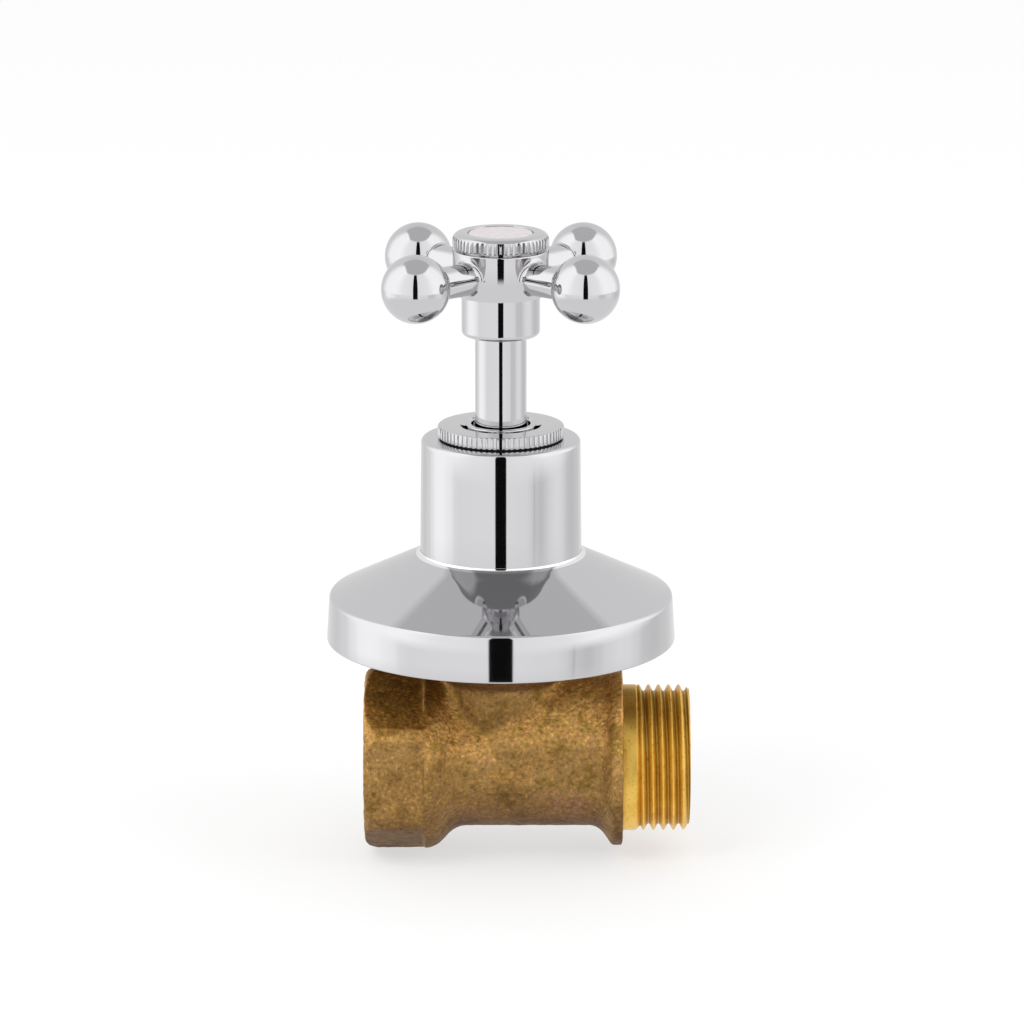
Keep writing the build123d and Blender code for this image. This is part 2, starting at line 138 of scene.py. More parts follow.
def tinted(tree, colour, tint):
    return blendOf(tree, 1.0, colour, tint, "MULTIPLY")


def noiseOf(tree, place, scale, detail=4.0, rough=0.55):  # scale is cells a metre
    made = addNode(tree, "ShaderNodeTexNoise")
    plug(tree, place, made.inputs["Vector"])
    made.inputs["Scale"].default_value = scale
    made.inputs["Detail"].default_value = detail
    made.inputs["Roughness"].default_value = rough
    return made.outputs["Fac"]


def scaled(tree, colour, factor):
    made = addNode(tree, "ShaderNodeVectorMath", operation="SCALE")
    plug(tree, colour, made.inputs[0])
    plug(tree, factor, made.inputs["Scale"])
    return made.outputs[0]


def partsOf(tree, vector):  # its X, Y and Z
    made = addNode(tree, "ShaderNodeSeparateXYZ")
    plug(tree, vector, made.inputs[0])
    return made.outputs


def normalOf(tree):
    return addNode(tree, "ShaderNodeNewGeometry").outputs["Normal"]


def newMaterial(name):
    made = bpy.data.materials.new(name)
    made.use_nodes = True
    tree = made.node_tree
    shader = tree.nodes["Principled BSDF"]
    place = addNode(tree, "ShaderNodeTexCoord").outputs["Object"]
    return made, tree, shader, place


def bumpOf(tree, shader, height, depth):
    made = addNode(tree, "ShaderNodeBump")
    made.inputs["Strength"].default_value = 1.0
    made.inputs["Distance"].default_value = depth
    plug(tree, height, made.inputs["Height"])
    plug(tree, made.outputs["Normal"], shader.inputs["Normal"])


print("Studio")

studio = {
    "plain": 0.95,  # even light on anything matt
    "glow": 1.34,  # how much brighter the walls are than that where they are mirrored
    "again": 0.85,  # what is left of it in a mirror seen in a mirror
    "deep": 0.50,  # and of that, where the second one looks up
    "lowLevel": 0.66,
    "patchLevel": 0.445,
    "slitLevel": 0.004,
    # Edge and softness: elevations and azimuths in degrees, the rest as shares of the direction
    "deepFrom": (38.0, 16.0),
    "slitHalf": (7.9, 1.0),  # the dark gap in front, to each side
    "slitLow": (-22.0, 3.0),
    "slitHigh": (60.0, 3.0),
    "patchLeft": (-0.42, 0.06),  # the darker ceiling
    "patchRight": (0.50, 0.06),
    "patchFront": (61.0, 4.0),
    "patchBack": (50.0, 4.0),
    "wallFoot": (-20.0, 8.0),
    "floorEdge": (-9.0, 3.0),
    "frontHalf": (0.0, 0.02),
}

# Brightness of the studio walls by azimuth: 0 is behind, 0.5 in front, 0.25 at the left
lowWalls = [
    (0.000, 0.64), (0.060, 0.62), (0.103, 0.60), (0.147, 0.69), (0.178, 0.84), (0.203, 0.96),
    (0.230, 0.98), (0.250, 0.97), (0.269, 0.92), (0.289, 0.88), (0.307, 0.77), (0.325, 0.74),
    (0.380, 0.75), (0.500, 0.76), (0.600, 0.73), (0.618, 0.69), (0.6345, 0.60), (0.6375, 0.47),
    (0.6405, 0.60), (0.667, 0.56), (0.689, 0.63), (0.708, 0.71), (0.739, 0.76), (0.761, 0.755),
    (0.781, 0.70), (0.808, 0.59), (0.839, 0.55), (0.889, 0.58), (0.950, 0.64), (1.000, 0.64),
]
highWalls = [
    (0.000, 0.57), (0.100, 0.62), (0.200, 0.98), (0.300, 1.00), (0.400, 0.84), (0.500, 0.78),
    (0.600, 0.82), (0.700, 0.98), (0.800, 0.96), (0.900, 0.62), (1.000, 0.57),
]


def lookedAt(tree, rays):  # 1 for what is seen directly, in a mirror or through glass
    seen = calc(tree, "ADD", rays.outputs["Is Camera Ray"], rays.outputs["Is Glossy Ray"])
    return calc(tree, "ADD", seen, rays.outputs["Is Transmission Ray"], clamp=True)


def wallsOf(tree, side, toward, azimuth, elevation):  # walls, ceiling patch and front gap
    share = calc(tree, "MULTIPLY_ADD", azimuth, 1 / 360, 0.5)
    low = rampOf(tree, share, lowWalls, "EASE")
    high = rampOf(tree, share, highWalls, "EASE")
    aboveFoot = over(tree, elevation, *studio["wallFoot"])
    low = blendOf(tree, aboveFoot, grey(studio["lowLevel"]), low)
    walls = blendOf(tree, over(tree, elevation, *studio["floorEdge"]), low, high)
    front = over(tree, toward, *studio["frontHalf"])
    behind = calc(tree, "SUBTRACT", 1.0, front)
    frontEnd = both(tree, front, over(tree, elevation, *studio["patchFront"]))
    backEnd = both(tree, behind, over(tree, elevation, *studio["patchBack"]))
    patch = both(
        tree,
        calc(tree, "ADD", frontEnd, backEnd),
        over(tree, side, *studio["patchLeft"]),
        under(tree, side, *studio["patchRight"]),
    )
    seen = blendOf(tree, patch, walls, grey(studio["patchLevel"]))
    slit = both(
        tree,
        front,
        under(tree, calc(tree, "ABSOLUTE", azimuth), *studio["slitHalf"]),
        over(tree, elevation, *studio["slitLow"]),
        under(tree, elevation, *studio["slitHigh"]),
    )
    return blendOf(tree, slit, seen, grey(studio["slitLevel"]))


def makeWorld():
    world = bpy.data.worlds.new("studio")
    bpy.context.scene.world = world
    world.use_nodes = True
    tree = world.node_tree
    shade = tree.nodes["Background"]
    side, depth, up = partsOf(tree, addNode(tree, "ShaderNodeTexCoord").outputs["Generated"])
    toward = calc(tree, "MULTIPLY", depth, -1.0)
    azimuth = calc(tree, "DEGREES", calc(tree, "ARCTAN2", side, toward))
    elevation = calc(tree, "DEGREES", calc(tree, "ARCSINE", up))
    walls = wallsOf(tree, side, toward, azimuth, elevation)
    rays = addNode(tree, "ShaderNodeLightPath")
    again = calc(tree, "GREATER_THAN", rays.outputs["Glossy Depth"], 1.5)
    upward = both(tree, again, over(tree, elevation, *studio["deepFrom"]))
    glow = calc(tree, "MULTIPLY_ADD", again, studio["glow"] * (studio["again"] - 1), studio["glow"])
    glow = calc(tree, "MULTIPLY", glow, calc(tree, "MULTIPLY_ADD", upward, studio["deep"] - 1, 1.0))
    seen = blendOf(tree, rays.outputs["Is Camera Ray"], scaled(tree, walls, glow), grey(1))
    plug(tree, blendOf(tree, lookedAt(tree, rays), grey(studio["plain"]), seen), shade.inputs["Color"])
    shade.inputs["Strength"].default_value = 1.0


floor = {
    "gap": 0.5 * mm,  # below the lowest point of the part
    "size": 12,
    "level": 0.9,
    "rough": 0.9,
    "glow": 0.6,  # how much of what is seen of it shines by itself
}


def makeFloor():
    lowest = cadBounds[0].z - floor["gap"]
    bpy.ops.mesh.primitive_plane_add(size=floor["size"], location=(spindleX, 0, lowest))
    ground = bpy.context.object
    ground.name = "floor"
    ground.visible_glossy = False
    made, tree, shader, place = newMaterial("paleFloor")
    shader.inputs["Base Color"].default_value = grey(floor["level"])
    shader.inputs["Roughness"].default_value = floor["rough"]
    shader.inputs["Specular IOR Level"].default_value = 0.0
    glow = addNode(tree, "ShaderNodeEmission")
    glow.inputs["Color"].default_value = grey(1)
    seen = lookedAt(tree, addNode(tree, "ShaderNodeLightPath"))
    mixed = addNode(tree, "ShaderNodeMixShader")
    plug(tree, calc(tree, "MULTIPLY", seen, floor["glow"]), mixed.inputs[0])
    plug(tree, shader.outputs[0], mixed.inputs[1])
    plug(tree, glow.outputs[0], mixed.inputs[2])
    plug(tree, mixed.outputs[0], tree.nodes["Material Output"].inputs["Surface"])
    ground.data.materials.append(made)


lamps = {
    "key": {"place": (-0.9, -0.9, 1.3), "size": 0.9, "watts": 9.0},
    "fill": {"place": (1.1, -0.5, 0.9), "size": 0.9, "watts": 4.0},
}
lampAim = 30 * mm  # height on the spindle axis


def makeLamps():
    for name, lamp in lamps.items():
        bpy.ops.object.light_add(type="AREA", location=lamp["place"])
        made = bpy.context.object
        made.name = name
        made.data.size = lamp["size"]
        made.data.energy = lamp["watts"]
        aim = Vector((spindleX, 0, lampAim)) - made.location
        made.rotation_euler = aim.to_track_quat("-Z", "Y").to_euler()
        made.visible_glossy = False


camera = {
    "place": (0.0269, -0.9618, 0.2866),
    "down": 14.05,
    "lens": 193.97,
    "sensor": 36.0,
    "near": 0.05,
    "far": 50,
}


def makeCamera():
    tilt = radians(90 - camera["down"])
    bpy.ops.object.camera_add(location=camera["place"], rotation=(tilt, 0, 0))
    made = bpy.context.object
    made.data.lens = camera["lens"]
    made.data.sensor_width = camera["sensor"]
    made.data.clip_start = camera["near"]
    made.data.clip_end = camera["far"]
    bpy.context.scene.camera = made
    bpy.context.scene.view_settings.view_transform = "Standard"


print("Finishes")

chrome = {
    "colour": (0.66, 0.652, 0.668, 1),
    "cloud": 90.0,
    "rough": (0.03, 0.06),
}


def makeChrome():
    made, tree, shader, place = newMaterial("chromePlate")
    shader.inputs["Base Color"].default_value = chrome["colour"]
    shader.inputs["Metallic"].default_value = 1.0
    cloud = noiseOf(tree, place, chrome["cloud"])
    plug(tree, between(tree, cloud, *chrome["rough"]), shader.inputs["Roughness"])
    return made


pressedChrome = {
    "rough": (0.03, 0.055),
    "highlightFoot": 38.42 * mm,  # painted highlight: the colour is brighter above it, round the sleeve's foot
    "paintedHighlightColour": (0.96, 0.95, 0.96, 1),
    # dull inside of the pressing, its dark colour partly painted shade
    "inside": ((0.26, 0.23, 0.20), (0.40, 0.36, 0.32)),
    "insideRough": 0.5,
}


def makePressedChrome():  # polished outside, thin and dull on the inside of the pressing, where the colour is also darkened as painted shade
    made, tree, shader, place = newMaterial("pressedChrome")
    shader.inputs["Metallic"].default_value = 1.0
    away = addNode(tree, "ShaderNodeVectorMath", operation="SUBTRACT")
    plug(tree, place, away.inputs[0])
    plug(tree, (spindleX, 0, 0), away.inputs[1])
    facing = addNode(tree, "ShaderNodeVectorMath", operation="DOT_PRODUCT")
    plug(tree, away.outputs[0], facing.inputs[0])
    plug(tree, normalOf(tree), facing.inputs[1])
    outside = calc(tree, "GREATER_THAN", facing.outputs["Value"], 0.0)
    cloud = noiseOf(tree, place, chrome["cloud"])
    # the inside is rough and dull, and its dark colour is partly painted shade
    dullInsideShade = between(tree, cloud, *pressedChrome["inside"])
    # painted highlight round the sleeve's foot, over the plating colour
    paintedHighlight = calc(tree, "GREATER_THAN", partsOf(tree, place)["Z"], pressedChrome["highlightFoot"])
    plateAndHighlight = blendOf(tree, paintedHighlight, chrome["colour"], pressedChrome["paintedHighlightColour"])
    plug(tree, blendOf(tree, outside, dullInsideShade, plateAndHighlight), shader.inputs["Base Color"])
    polish = between(tree, cloud, *pressedChrome["rough"])
    insideRough = grey(pressedChrome["insideRough"])
    plug(tree, blendOf(tree, outside, insideRough, polish), shader.inputs["Roughness"])
    return made


castBrass = {
    "metal": 0.75,
    "rough": (0.50, 0.70),
    "bump": 0.3 * mm,
    "tones": [
        (0.30, (0.27, 0.14, 0.042)), (0.45, (0.35, 0.195, 0.058)),
        (0.58, (0.41, 0.24, 0.073)), (0.70, (0.43, 0.23, 0.10)),
    ],
    "specks": [(0.30, 0.26), (0.47, 0.47), (0.60, 0.58), (0.72, 0.95)],  # half the brightness
    "stains": [(0.36, (0.72, 0.74, 0.55)), (0.46, (1, 1, 1))],
    # Painted shadow of the flange lies left of one edge and above the other, where the face looks up:
    # edge, softness
    "paintedShadowLeft": (15.5 * mm, 2.0 * mm),
    "paintedShadowFoot": (7.6 * mm, 2.4 * mm),
    "paintedShadowTilt": (0.5, 0.3),
    # the tint of the painted shadow
    "paintedShadowTint": (0.40, 0.34, 0.20, 1),
    # Painted light and shade by facing: from faces that look down, darker, to faces that look up, lighter
    "paintedFacingLight": [(0.08, 0.15), (0.28, 0.24), (0.46, 0.335), (0.56, 0.37), (0.70, 0.60), (0.82, 0.78)],
    "paintedFacingLightScale": 3.0,
    "pink": [(0.10, (1, 0.88, 1)), (0.40, (1, 1, 1))],
}


def makeCastBrass():
    made, tree, shader, place = newMaterial("castBrass")
    shader.inputs["Metallic"].default_value = castBrass["metal"]
    tone = rampOf(tree, noiseOf(tree, place, 120.0, 5.0, 0.6), castBrass["tones"])
    grain = noiseOf(tree, place, 1500.0, 3.0, 0.65)
    sand = noiseOf(tree, place, 750.0, 4.0, 0.6)
    speck = rampOf(tree, grain, castBrass["specks"])
    tone = scaled(tree, tone, calc(tree, "MULTIPLY", speck, 2.0))
    stain = rampOf(tree, noiseOf(tree, place, 260.0, 3.0, 0.6), castBrass["stains"])
    tone = tinted(tree, tone, stain)
    tilt = partsOf(tree, normalOf(tree))["Z"]
    upward = calc(tree, "MULTIPLY_ADD", tilt, 0.5, 0.5)
    where = partsOf(tree, place)
    # painted shadow of the flange: darker where the face looks up, left of one edge and above the other
    paintedShadow = both(
        tree,
        under(tree, where["X"], *castBrass["paintedShadowLeft"]),
        over(tree, where["Z"], *castBrass["paintedShadowFoot"]),
        over(tree, tilt, *castBrass["paintedShadowTilt"]),
    )
    tone = blendOf(tree, paintedShadow, tone, tinted(tree, tone, castBrass["paintedShadowTint"]))
    # painted light: the colour is scaled lighter on upward faces and darker on downward ones
    paintedFacingLight = rampOf(tree, upward, castBrass["paintedFacingLight"])
    tone = scaled(tree, tone, calc(tree, "MULTIPLY", paintedFacingLight, castBrass["paintedFacingLightScale"]))
    pink = rampOf(tree, upward, castBrass["pink"])
    plug(tree, tinted(tree, tone, pink), shader.inputs["Base Color"])
    plug(tree, between(tree, sand, *castBrass["rough"]), shader.inputs["Roughness"])
    bumpOf(tree, shader, calc(tree, "MULTIPLY_ADD", grain, 0.5, sand), castBrass["bump"])
    return made


machined = {
    "metal": 0.9,
    "spots": [(0.30, 0.6), (0.42, 1.0)],
    "bump": 0.04 * mm,
    "turned": ((0.82, 0.47, 0.085), (0.98, 0.63, 0.14)),
    "turnedRough": (0.34, 0.46),
    "thread": ((0.88, 0.52, 0.09), (1.0, 0.66, 0.15)),
    "threadRough": (0.32, 0.44),
    # painted shade in the thread roots, from root to crest
    "rootShading": [(0.0, (0.55, 0.50, 0.40)), (0.45, (0.85, 0.83, 0.78)), (0.9, (1, 1, 1))],
}


def finishMachined(tree, shader, place, tones, rough, rootShade=None):
    shader.inputs["Metallic"].default_value = machined["metal"]
    cloud = noiseOf(tree, place, 300.0)
    tone = between(tree, cloud, *tones)
    # painted shade in the thread roots, where it is given
    if rootShade is not None:
        tone = tinted(tree, tone, rootShade)
    grain = noiseOf(tree, place, 1500.0, 3.0, 0.6)
    spots = rampOf(tree, grain, machined["spots"])
    plug(tree, tinted(tree, tone, spots), shader.inputs["Base Color"])
    plug(tree, between(tree, cloud, *rough), shader.inputs["Roughness"])
    bumpOf(tree, shader, grain, machined["bump"])


def makeTurnedBrass():
    made, tree, shader, place = newMaterial("turnedBrass")
    finishMachined(tree, shader, place, machined["turned"], machined["turnedRough"])
    return made


def makeThreadBrass():  # brighter on the crests than in the roots, as painted shade in the roots
    made, tree, shader, place = newMaterial("threadBrass")
    along, side, up = partsOf(tree, place)
    squares = [calc(tree, "POWER", part, 2.0) for part in (side, up)]
    away = calc(tree, "SQRT", calc(tree, "ADD", *squares))
    depth = pipeThread["depth"]
    rise = calc(tree, "MULTIPLY_ADD", away, 1 / depth, -pipeThread["core"] / depth)
    rootShade = rampOf(tree, rise, machined["rootShading"])
    finishMachined(tree, shader, place, machined["thread"], machined["threadRough"], rootShade)
    return made


plainLook = {"cloud": 700.0, "darker": 0.8, "bump": 0.05 * mm}


def makePlain(name, colour, rough, metal=0.0):
    made, tree, shader, place = newMaterial(name)
    cloud = noiseOf(tree, place, plainLook["cloud"])
    darker = tuple(plainLook["darker"] * part for part in colour)
    plug(tree, between(tree, cloud, darker, colour), shader.inputs["Base Color"])
    shader.inputs["Metallic"].default_value = metal
    shader.inputs["Roughness"].default_value = rough
    bumpOf(tree, shader, cloud, plainLook["bump"])
    return made


print("Modelling helpers")

mergeGap = 0.001 * mm
cadMergeGap = 0.0005 * mm
onAxis = 0.0005 * mm  # as near to its axis as an outline goes
past = mm  # how far a cutting tool reaches past what it cuts
smoothAngle = 35  # sharper edges stay sharp
fineSteps = 240


def pick(piece):  # this piece alone is selected and active
    bpy.ops.object.select_all(action="DESELECT")
    piece.select_set(True)
    bpy.context.view_layer.objects.active = piece


def openMesh(piece):  # in edit mode with all of it selected
    pick(piece)
    bpy.ops.object.mode_set(mode="EDIT")
    bpy.ops.mesh.select_all(action="SELECT")


def closeMesh():
    bpy.ops.object.mode_set(mode="OBJECT")


def change(piece, kind, **settings):  # adds a modifier and applies it
    modifier = piece.modifiers.new("change", kind)
    for name, value in settings.items():
        setattr(modifier, name, value)
    pick(piece)
    bpy.ops.object.modifier_apply(modifier=modifier.name)


def cutWith(piece, tool, how="DIFFERENCE"):  # the tool is used up
    change(piece, "BOOLEAN", operation=how, solver="EXACT", object=tool)
    bpy.data.objects.remove(tool)


def outward(piece):
    openMesh(piece)
    bpy.ops.mesh.normals_make_consistent(inside=False)
    closeMesh()


def weld(piece, sides=24):  # merges doubles, closes holes of up to so many sides (0 is any), turns it out
    openMesh(piece)
    bpy.ops.mesh.remove_doubles(threshold=mergeGap)
    bpy.ops.mesh.fill_holes(sides=sides)
    bpy.ops.mesh.normals_make_consistent(inside=False)
    closeMesh()


def finished(piece):
    weld(piece)
    pick(piece)
    bpy.ops.object.shade_smooth_by_angle(angle=radians(smoothAngle))
    return piece


def shift(piece, by):  # moves the mesh and leaves the object at the origin
    openMesh(piece)
    bpy.ops.transform.translate(value=by)
    closeMesh()


def drawLine(name, points):  # edges through (x, z) points, drawn out from one vertex
    bpy.ops.object.select_all(action="DESELECT")
    bpy.ops.mesh.primitive_plane_add(size=mm)
    piece = bpy.context.object
    piece.name = name
    openMesh(piece)
    bpy.ops.mesh.merge(type="CENTER")
    reach = [Vector((along, 0, out)) for along, out in points]
    bpy.ops.transform.translate(value=reach[0])
    for here, there in zip(reach, reach[1:]):
        bpy.ops.mesh.extrude_region_move(TRANSFORM_OT_translate={"value": there - here})
    bpy.ops.mesh.select_all(action="SELECT")
    bpy.ops.mesh.remove_doubles(threshold=mergeGap)
    closeMesh()
    return piece


def spinLine(piece, steps, turns=1, advance=0.0, axis="X"):  # as a screw where it advances
    change(
        piece, "SCREW", axis=axis, steps=steps, render_steps=steps, iterations=turns,
        screw_offset=advance, use_merge_vertices=True, merge_threshold=mergeGap,
    )
    weld(piece)


def turnedRing(name, points, steps=128):  # a solid ring or disc from its closed (x, radius) outline
    piece = drawLine(name, points + points[:1])
    spinLine(piece, steps)
    return piece


def turnedUpright(name, points, steps=160):  # about the spindle, from its closed (radius, height) outline
    piece = drawLine(name, points + points[:1])
    spinLine(piece, steps, axis="Z")
    shift(piece, (spindleX, 0, 0))
    return piece


def arc(across, up, radius, start, end, count=6):  # points on an arc, in degrees from outward to upward
    turns = [radians(start + (end - start) * step / count) for step in range(count + 1)]
    return [(across + radius * cos(turn), up + radius * sin(turn)) for turn in turns]


def trimAt(piece, along, side):  # cuts it flat across the pipe axis and keeps the other side
    openMesh(piece)
    bpy.ops.mesh.bisect(
        plane_co=(along, 0, 0), plane_no=(side, 0, 0), use_fill=True, clear_outer=True
    )
    closeMesh()


def copyNode(name, node):  # a copy of a CAD mesh with its doubled vertices merged
    pick(frame["nodes"][node])
    bpy.ops.object.duplicate()
    piece = bpy.context.object
    piece.name = name
    openMesh(piece)
    bpy.ops.mesh.remove_doubles(threshold=cadMergeGap)
    bpy.ops.mesh.normals_make_consistent(inside=False)
    closeMesh()
    return piece


print("Pipe threads")

pipeThread = {
    "pitch": 1.814 * mm,
    "major": 13.22 * mm,
    "depth": 1.16 * mm,
    "steps": 120,
    "wave": [  # one thread from root to root: share of the pitch, share of the depth
        (0.0, 0.0), (0.07, 0.02), (0.14, 0.12), (0.37, 0.86), (0.44, 0.98),
        (0.5, 1.0), (0.56, 0.98), (0.63, 0.86), (0.86, 0.12), (0.93, 0.02),
    ],
}
pipeThread["core"] = pipeThread["major"] - pipeThread["depth"]


def threadedRod(name, start, end, crest=0.0):  # past both ends, with a crest on its upper side at crest
    pitch = pipeThread["pitch"]
    depth = pipeThread["depth"]
    root = pipeThread["core"]
    turns = int((end - start) / pitch) + 5
    first = crest - pitch / 2 - pitch * (int((crest - start) / pitch) + 3)
    points = [(first + share * pitch, root + rise * depth) for share, rise in pipeThread["wave"]]
    points.append((first + pitch, root))
    rod = drawLine(name, points)
    spinLine(rod, pipeThread["steps"], turns, pitch)
    weld(rod, 0)
    return rod


outlet = {
    "end": spindleX + 34.1 * mm,
    "collarFace": spindleX + 22.15 * mm,
    "threadStart": spindleX + 24.4 * mm,
    "lastCrest": spindleX + 32.3 * mm,
    "spare": 0.5 * mm,
    "runout": 1.3 * mm,
    "runoutBelow": 0.1 * mm,  # how far it dips below the roots
    "plainOver": 0.01 * mm,  # keeps the unthreaded start off the crests
    "endOver": 0.02 * mm,
    "bore": 9.4 * mm,
    "chamfer": 1.2 * mm,
    "chamferDepth": 0.8 * mm,
    "inside": 0.6 * mm,
    "root": 1.0 * mm,  # how far it is let into the casting
}


def makeOutletThread():
    major = pipeThread["major"]
    bore = outlet["bore"]
    end = outlet["end"]
    start = outlet["collarFace"] - outlet["root"]
    threadStart = outlet["threadStart"]
    runoutEnd = threadStart + outlet["runout"]
    first = threadStart - pipeThread["pitch"]
    piece = threadedRod("outlet_thread", first, end + outlet["spare"], outlet["lastCrest"])
    plain = turnedRing("plainStart", [
        (start - past, onAxis),
        (start - past, major + outlet["plainOver"]),
        (threadStart, major + outlet["plainOver"]),
        (runoutEnd, pipeThread["core"] - outlet["runoutBelow"]),
        (runoutEnd, onAxis),
    ])
    cutWith(piece, plain, "UNION")
    envelope = turnedRing("envelope", [
        (start, bore),
        (start, major + past),
        (end - outlet["chamfer"], major + past),
        (end - outlet["chamfer"], major + outlet["endOver"]),
        (end, major - outlet["chamferDepth"]),
        (end, bore + outlet["inside"]),
        (end - outlet["inside"], bore),
    ])
    cutWith(piece, envelope, "INTERSECT")
    return finished(piece)


inlet = {
    "depth": 10.9 * mm,
    "linerRadius": 14.2 * mm,
    "linerBevel": 0.3 * mm,
    "lining": 0.2 * mm,  # the blank's bore is this much smaller than the thread's core
    "mouth": 13.5 * mm,
    "mouthDepth": 1.4 * mm,
    "coreUnder": 0.05 * mm,
    "sunk": 0.25 * mm,
    "spare": 3 * mm,
    "seatUnder": 0.1 * mm,  # the casting's seat is tighter and shallower than the liner
    "seatShort": 0.9 * mm,
}


def makeInletThread():
    core = pipeThread["core"]
    depth = inlet["depth"]
    sunk = inlet["sunk"]
    bevel = inlet["linerBevel"]
    piece = turnedRing("inlet_thread", [
        (sunk, core - inlet["lining"]),
        (sunk, inlet["linerRadius"] - bevel),
        (sunk + bevel, inlet["linerRadius"]),
        (depth + past, inlet["linerRadius"]),
        (depth + past, core - inlet["lining"]),
    ])
    cutWith(piece, threadedRod("tap", -inlet["spare"], depth + inlet["spare"]))
    countersink = turnedRing("countersink", [
        (-past, onAxis),
        (-past, inlet["mouth"] + past),
        (inlet["mouthDepth"], core - inlet["coreUnder"]),
        (depth + 2 * past, core - inlet["coreUnder"]),
        (depth + 2 * past, onAxis),
    ])
    cutWith(piece, countersink)
    return finished(piece)


print("Casting")

casting = {
    "grain": 0.40 * mm,
    "softening": 2,
    "softness": 0.5,
    "waves": (2.6 * mm, 0.22 * mm),  # size and depth
    "pits": (0.9 * mm, 0.10 * mm),
}


def makeCasting():
    piece = copyNode("casting", "valve_body")
    piece.data.materials.clear()
    trimAt(piece, outlet["collarFace"], 1)
    seatRadius = inlet["linerRadius"] - inlet["seatUnder"]
    seatEnd = inlet["depth"] + inlet["seatShort"]
    seat = turnedRing("linerSeat", [
        (-past, onAxis), (-past, seatRadius), (seatEnd, seatRadius), (seatEnd, onAxis),
    ])
    cutWith(piece, seat)
    change(piece, "REMESH", mode="VOXEL", voxel_size=casting["grain"], use_smooth_shade=True)
    change(piece, "SMOOTH", factor=casting["softness"], iterations=casting["softening"])
    for size, depth in (casting["waves"], casting["pits"]):
        texture = bpy.data.textures.new("sand", "CLOUDS")
        texture.noise_scale = size
        texture.noise_depth = 2
        change(piece, "DISPLACE", texture=texture, strength=depth, mid_level=1.0, texture_coords="LOCAL")
    return piece


arrow = {
    "start": spindleX - 2.4 * mm,
    "shaftEnd": spindleX + 4.4 * mm,
    "tip": spindleX + 7.0 * mm,
    "height": -1.7 * mm,
    "shaftHalf": 1.4 * mm,
    "headHalf": 2.7 * mm,
    "barrel": 12.5 * mm,
    "proud": 0.4 * mm,
    "sunk": 0.8 * mm,
    "bevel": 0.12 * mm,
    "bevelFrom": 40,  # degrees between the faces of an edge
    "draw": 8 * mm,  # the outline is moved this far to the front and drawn out as far again
}


def makeArrow():  # raised on the front of the barrel
    level = arrow["height"]
    half = arrow["shaftHalf"]
    wide = arrow["headHalf"]
    outline = [
        (arrow["start"], level - half),
        (arrow["shaftEnd"], level - half),
        (arrow["shaftEnd"], level - wide),
        (arrow["tip"], level),
        (arrow["shaftEnd"], level + wide),
        (arrow["shaftEnd"], level + half),
        (arrow["start"], level + half),
    ]
    piece = drawLine("flow_arrow", outline + outline[:1])
    openMesh(piece)
    bpy.ops.mesh.edge_face_add()
    bpy.ops.transform.translate(value=(0, -arrow["draw"], 0))
    bpy.ops.mesh.extrude_region_move(TRANSFORM_OT_translate={"value": (0, -arrow["draw"], 0)})
    closeMesh()
    outward(piece)
    low = arrow["barrel"] - arrow["sunk"]
    high = arrow["barrel"] + arrow["proud"]
    left = arrow["start"] - past
    right = arrow["tip"] + past
    shell = turnedRing("shell", [(left, low), (left, high), (right, high), (right, low)], fineSteps)
    cutWith(piece, shell, "INTERSECT")
    change(
        piece, "BEVEL", width=arrow["bevel"], segments=2, limit_method="ANGLE",
        angle_limit=radians(arrow["bevelFrom"]),
    )
    return finished(piece)


print("Trim")

flange = {
    "hole": 9.1 * mm,
    "seat": 37.7 * mm,
    "land": 38.7 * mm,
    "landRadius": 14.3 * mm,
    "rimRadius": 31.4 * mm,
    "rimFoot": 22.7 * mm,
    "footRound": 0.25 * mm,
    "footTurn": (-90, 3),
    "rimCentre": (30.034 * mm, 30.268 * mm),
    "rimRound": 0.9 * mm,
    "rimTurn": (3.5, 64.3),
    "cone": [
        (17.0 * mm, 37.544 * mm), (16.4 * mm, 37.838 * mm),
        (15.9 * mm, 38.092 * mm), (15.5 * mm, 38.305 * mm),
    ],
    "filletCentre": (15.03 * mm, 39.12 * mm),
    "filletRound": 0.5 * mm,
    "filletTurn": (-119, -180),
    "inside": [(14.37 * mm, 37.7 * mm), (29.9 * mm, 30.222 * mm), (30.4 * mm, 22.7 * mm)],
}


def makeFlange():
    rounding = flange["footRound"]
    footCentre = (flange["rimRadius"] - rounding, flange["rimFoot"] + rounding)
    outline = [(flange["hole"], flange["seat"])]
    outline += flange["inside"]
    outline += arc(*footCentre, rounding, *flange["footTurn"], 4)
    outline += arc(*flange["rimCentre"], flange["rimRound"], *flange["rimTurn"], 8)
    outline += flange["cone"]
    outline += arc(*flange["filletCentre"], flange["filletRound"], *flange["filletTurn"], 8)
    outline += [(flange["landRadius"], flange["land"]), (flange["hole"], flange["land"])]
    return finished(turnedUpright("bell_flange", outline, fineSteps))


sleeve = {
    "foot": 38.7 * mm,
    "top": 59.75 * mm,
    "footRadius": 14.52 * mm,
    "headRadius": 14.28 * mm,
    "footRound": 0.5 * mm,
    "headRound": 0.8 * mm,
    "wall": 1.6 * mm,
    "hole": 9.1 * mm,
    "holeRound": 0.2 * mm,
}


def makeSleeve():
    foot = sleeve["foot"]
    top = sleeve["top"]
    wall = sleeve["wall"]
    low = sleeve["footRound"]
    high = sleeve["headRound"]
    small = sleeve["holeRound"]
    outline = [(sleeve["footRadius"] - wall, foot)]
    outline += arc(sleeve["footRadius"] - low, foot + low, low, -90, 0, 8)
    outline += arc(sleeve["headRadius"] - high, top - high, high, 0, 90, 8)
    outline += arc(sleeve["hole"] + small, top - small, small, 90, 180, 3)
    outline += [(sleeve["hole"], top - wall), (sleeve["headRadius"] - wall, top - wall)]
    return finished(turnedUpright("drawn_sleeve", outline, fineSteps))


